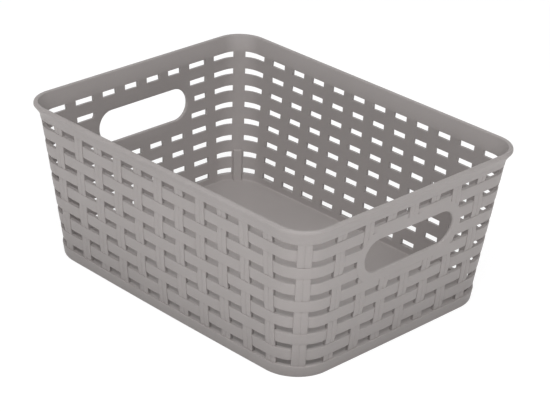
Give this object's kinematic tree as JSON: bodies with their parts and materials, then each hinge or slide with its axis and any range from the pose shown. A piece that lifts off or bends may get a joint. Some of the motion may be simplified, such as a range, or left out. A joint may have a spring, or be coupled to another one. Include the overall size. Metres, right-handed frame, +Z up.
{
  "type": "laundry basket",
  "caption": "Rectangular open basket with plain-weave slotted walls, a flared rim, a plain foot band and an oval finger opening in each short wall.",
  "frame": {"origin": "centre of the base, on the surface that the basket stands on", "axes": "+X along the length, +Y across the width, +Z up"},
  "size_m": [0.3592, 0.2702, 0.1475],
  "materials": {
    "moulded_plastic": "satin warm grey moulded plastic"
  },
  "bodies": {
    "root": {"floor_panel": "moulded_plastic", "foot_band": "moulded_plastic", "rim": "moulded_plastic", "front_wall": "moulded_plastic", "back_wall": "moulded_plastic", "corner_front_right": "moulded_plastic", "nesting_stop_front_right": "moulded_plastic", "corner_back_right": "moulded_plastic", "nesting_stop_back_right": "moulded_plastic", "corner_back_left": "moulded_plastic", "nesting_stop_back_left": "moulded_plastic", "corner_front_left": "moulded_plastic", "nesting_stop_front_left": "moulded_plastic", "right_wall_below_handle": "moulded_plastic", "right_wall_above_handle": "moulded_plastic", "right_wall_front_end": "moulded_plastic", "right_wall_back_end": "moulded_plastic", "right_handle_surround": "moulded_plastic", "left_wall_below_handle": "moulded_plastic", "left_wall_above_handle": "moulded_plastic", "left_wall_front_end": "moulded_plastic", "left_wall_back_end": "moulded_plastic", "left_handle_surround": "moulded_plastic"}
  },
  "joints": []
}
